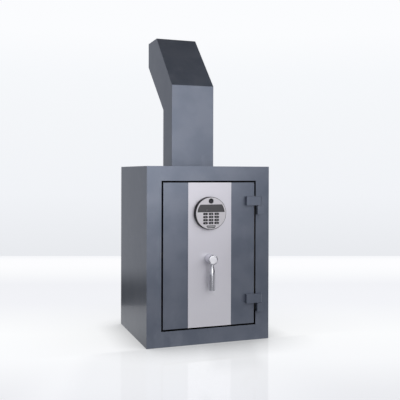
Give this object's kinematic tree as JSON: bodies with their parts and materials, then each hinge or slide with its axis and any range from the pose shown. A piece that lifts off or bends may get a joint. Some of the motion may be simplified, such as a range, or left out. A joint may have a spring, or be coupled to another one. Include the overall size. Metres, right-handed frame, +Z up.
{
  "type": "gooseneck deposit safe",
  "caption": "Upright steel deposit safe with a flush keypad door on outside hinges, and a bent square neck on top that takes deposits at a rear mouth.",
  "frame": {"origin": "middle of the cabinet's footprint, on the floor", "axes": "+Z up, -Y towards the door, +X towards the hinge side"},
  "size_m": [0.44, 0.55, 1.102],
  "materials": {
    "body_paint": "smooth satin grey-blue powder coat",
    "trim_steel": "vertically brushed stainless sheet",
    "bright_chrome": "polished chrome plate",
    "bare_steel": "zinc-plated steel",
    "dark_plastic": "fine matt moulding",
    "silver_plastic": "silver painted moulding",
    "display_plastic": "tinted window",
    "key_rubber": "matt rubber",
    "lead_sheath": "matt sheath"
  },
  "bodies": {
    "cabinet": {"left_side_panel": "body_paint", "right_side_panel": "body_paint", "rear_panel": "body_paint", "top_panel": "body_paint", "bottom_panel": "body_paint", "neck_collar": "body_paint", "front_frame": "body_paint", "door_stop_top": "body_paint", "door_stop_bottom": "body_paint", "bolt_strike": "bare_steel", "hinge_knuckle_upper": "body_paint", "hinge_knuckle_lower": "body_paint", "hinge_pin_upper": "bare_steel", "hinge_pin_lower": "bare_steel", "neck_left_side": "body_paint", "neck_right_side": "body_paint", "neck_front_panel": "body_paint", "neck_rear_panel": "body_paint", "baffle_front": "bare_steel", "baffle_rear": "bare_steel", "flap_pin": "bare_steel"},
    "door": {"door_plate": "body_paint", "trim_plate": "trim_steel", "door_pan": "body_paint", "door_cover": "body_paint", "hinge_strap_upper": "body_paint", "hinge_strap_lower": "body_paint", "hinge_side_bar": "bare_steel", "carrier_guide_upper": "bare_steel", "carrier_guide_lower": "bare_steel", "hard_plate": "bare_steel", "lock_body": "dark_plastic", "keypad_base": "dark_plastic", "keypad_face": "silver_plastic", "display_window": "display_plastic", "key_reader": "dark_plastic", "keypad_cable": "lead_sheath"},
    "handle": {"handle_hub": "bright_chrome", "handle_cap": "bright_chrome", "handle_lever": "bright_chrome", "handle_spindle": "bare_steel", "handle_cam": "bare_steel"},
    "boltwork": {"bolt_carrier": "bare_steel", "locking_bolt_upper": "bright_chrome", "locking_bolt_middle": "bright_chrome", "locking_bolt_lower": "bright_chrome"},
    "lock_latch": {"lock_bolt": "bare_steel"},
    "flap": {"deposit_flap": "body_paint"},
    "button_1": {"key_1": "key_rubber"},
    "button_2": {"key_2": "key_rubber"},
    "button_3": {"key_3": "key_rubber"},
    "button_4": {"key_4": "key_rubber"},
    "button_5": {"key_5": "key_rubber"},
    "button_6": {"key_6": "key_rubber"},
    "button_7": {"key_7": "key_rubber"},
    "button_8": {"key_8": "key_rubber"},
    "button_9": {"key_9": "key_rubber"},
    "button_star": {"key_star": "key_rubber"},
    "button_0": {"key_0": "key_rubber"},
    "button_hash": {"key_hash": "key_rubber"}
  },
  "joints": [
    {"name": "door_hinge", "type": "hinge", "parent": "cabinet", "child": "door", "pos_m": [0.181, -0.199, 0.3], "axis": [0, 0, 1], "range_deg": [0, 170]},
    {"name": "handle_turn", "type": "hinge", "parent": "door", "child": "handle", "pos_m": [-0.003, -0.19, 0.288], "axis": [0, -1, 0], "range_deg": [0, 90]},
    {"name": "bolt_throw", "type": "slide", "parent": "door", "child": "boltwork", "axis": [-1, 0, 0], "range_m": [0, 0.026]},
    {"name": "latch_throw", "type": "slide", "parent": "door", "child": "lock_latch", "axis": [-1, 0, 0], "range_m": [0, 0.022]},
    {"name": "flap_swing", "type": "hinge", "parent": "cabinet", "child": "flap", "pos_m": [0, 0.308, 1.091], "axis": [-1, 0, 0], "range_deg": [0, 75]},
    {"name": "press_1", "type": "slide", "parent": "door", "child": "button_1", "axis": [0, 1, 0], "range_m": [0, 0.0012], "stiffness_N_per_m": 300},
    {"name": "press_2", "type": "slide", "parent": "door", "child": "button_2", "axis": [0, 1, 0], "range_m": [0, 0.0012], "stiffness_N_per_m": 300},
    {"name": "press_3", "type": "slide", "parent": "door", "child": "button_3", "axis": [0, 1, 0], "range_m": [0, 0.0012], "stiffness_N_per_m": 300},
    {"name": "press_4", "type": "slide", "parent": "door", "child": "button_4", "axis": [0, 1, 0], "range_m": [0, 0.0012], "stiffness_N_per_m": 300},
    {"name": "press_5", "type": "slide", "parent": "door", "child": "button_5", "axis": [0, 1, 0], "range_m": [0, 0.0012], "stiffness_N_per_m": 300},
    {"name": "press_6", "type": "slide", "parent": "door", "child": "button_6", "axis": [0, 1, 0], "range_m": [0, 0.0012], "stiffness_N_per_m": 300},
    {"name": "press_7", "type": "slide", "parent": "door", "child": "button_7", "axis": [0, 1, 0], "range_m": [0, 0.0012], "stiffness_N_per_m": 300},
    {"name": "press_8", "type": "slide", "parent": "door", "child": "button_8", "axis": [0, 1, 0], "range_m": [0, 0.0012], "stiffness_N_per_m": 300},
    {"name": "press_9", "type": "slide", "parent": "door", "child": "button_9", "axis": [0, 1, 0], "range_m": [0, 0.0012], "stiffness_N_per_m": 300},
    {"name": "press_star", "type": "slide", "parent": "door", "child": "button_star", "axis": [0, 1, 0], "range_m": [0, 0.0012], "stiffness_N_per_m": 300},
    {"name": "press_0", "type": "slide", "parent": "door", "child": "button_0", "axis": [0, 1, 0], "range_m": [0, 0.0012], "stiffness_N_per_m": 300},
    {"name": "press_hash", "type": "slide", "parent": "door", "child": "button_hash", "axis": [0, 1, 0], "range_m": [0, 0.0012], "stiffness_N_per_m": 300}
  ],
  "couplings": [
    {"joint": "bolt_throw", "follows": "handle_turn", "m_per_rad": 0.016552},
    {"joint": "latch_throw", "follows": "handle_turn", "m_per_rad": 0.014006}
  ]
}
